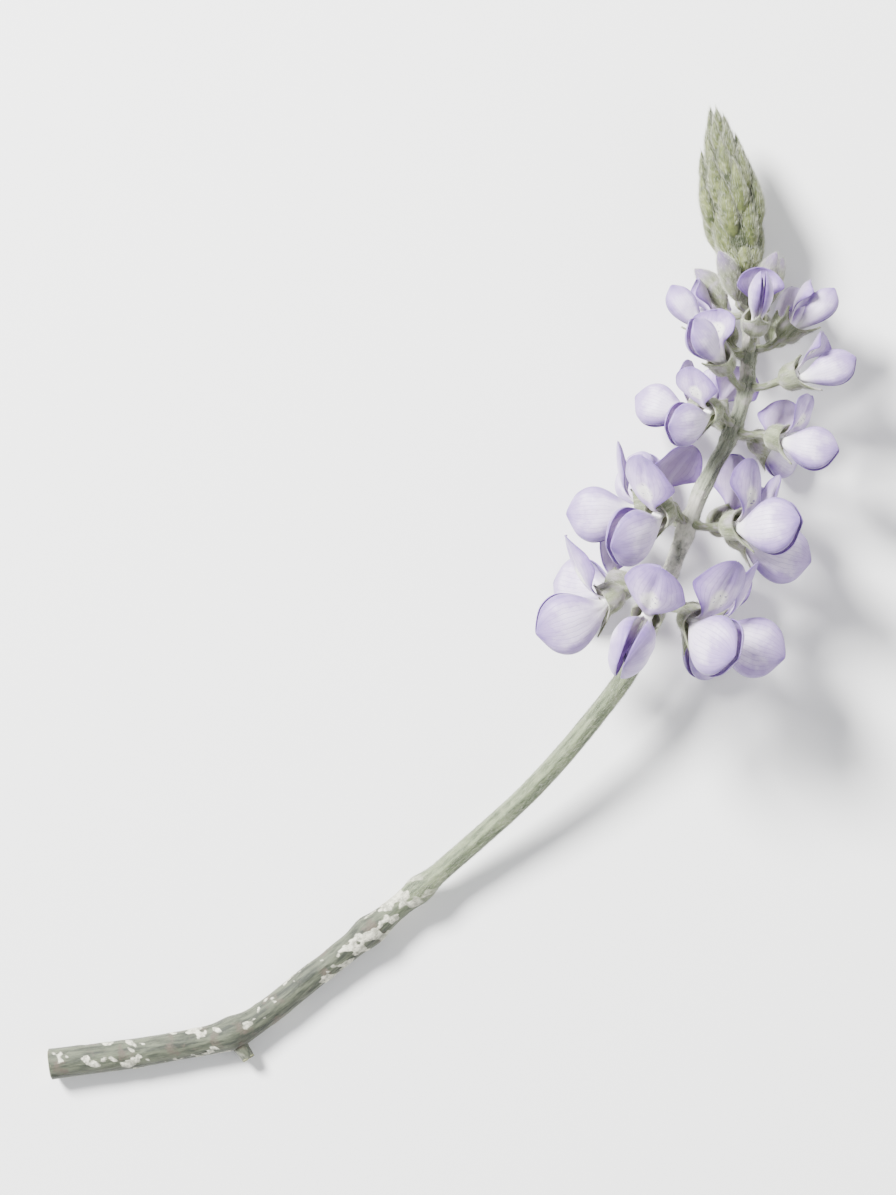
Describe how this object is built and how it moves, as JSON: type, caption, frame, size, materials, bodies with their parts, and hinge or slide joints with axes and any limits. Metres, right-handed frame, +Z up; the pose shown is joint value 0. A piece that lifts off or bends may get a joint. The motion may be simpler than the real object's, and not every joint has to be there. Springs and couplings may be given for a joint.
{
  "type": "lupin flower spike",
  "caption": "Cut spike of violet pea-shaped blooms in whorls under a tapering cone of silky buds, on a bare curved stalk with a woody foot, lying down.",
  "frame": {"origin": "middle of the footprint of the whole spike, on the surface it lies on", "axes": "+Z up from the surface; +Y the way the tip of the spike points, along the longest extent; +X to the right seen from above"},
  "size_m": [0.117, 0.1412, 0.0307],
  "materials": {
    "stem": "silky grey-green stalk on a flaking grey woody foot",
    "cone": "matt olive buds under silky cream hairs",
    "buds": "matt silvery hairs",
    "calyx": "matt silvery green, finely hairy",
    "petals": "satin violet petals with pale patches and fine veins"
  },
  "bodies": {
    "root": {"stem": "stem", "bud_cone": "cone", "bloom_01_calyx": "calyx", "bloom_01_petals": "petals", "bloom_02_calyx": "calyx", "bloom_02_petals": "petals", "bloom_03_calyx": "calyx", "bloom_03_petals": "petals", "bloom_04_calyx": "calyx", "bloom_04_petals": "petals", "bloom_05_calyx": "calyx", "bloom_05_petals": "petals", "bloom_06_calyx": "calyx", "bloom_06_petals": "petals", "bloom_07_calyx": "calyx", "bloom_07_petals": "petals", "bloom_08_calyx": "calyx", "bloom_08_petals": "petals", "bloom_09_calyx": "calyx", "bloom_09_petals": "petals", "bloom_10_calyx": "calyx", "bloom_10_petals": "petals", "bloom_11_calyx": "calyx", "bloom_11_petals": "petals", "bloom_12_calyx": "calyx", "bloom_12_petals": "petals", "bloom_13_calyx": "calyx", "bloom_13_petals": "petals", "bloom_14_calyx": "calyx", "bloom_14_petals": "petals", "bloom_15_calyx": "calyx", "bloom_15_petals": "petals", "bloom_16_calyx": "calyx", "bloom_16_petals": "petals", "bloom_17_calyx": "calyx", "bloom_17_petals": "petals", "opening_bud_01_calyx": "calyx", "opening_bud_01_petals": "petals", "opening_bud_02_calyx": "calyx", "opening_bud_02_petals": "petals", "opening_bud_03_calyx": "calyx", "opening_bud_03_petals": "petals", "opening_bud_04_calyx": "calyx", "opening_bud_04_petals": "petals", "opening_bud_05_calyx": "calyx", "opening_bud_05_petals": "petals", "opening_bud_06_calyx": "calyx", "opening_bud_06_petals": "petals", "opening_bud_07_calyx": "calyx", "opening_bud_07_petals": "petals", "closed_bud_01": "buds", "closed_bud_02": "buds", "closed_bud_03": "buds", "closed_bud_04": "buds", "closed_bud_05": "buds"}
  },
  "joints": []
}
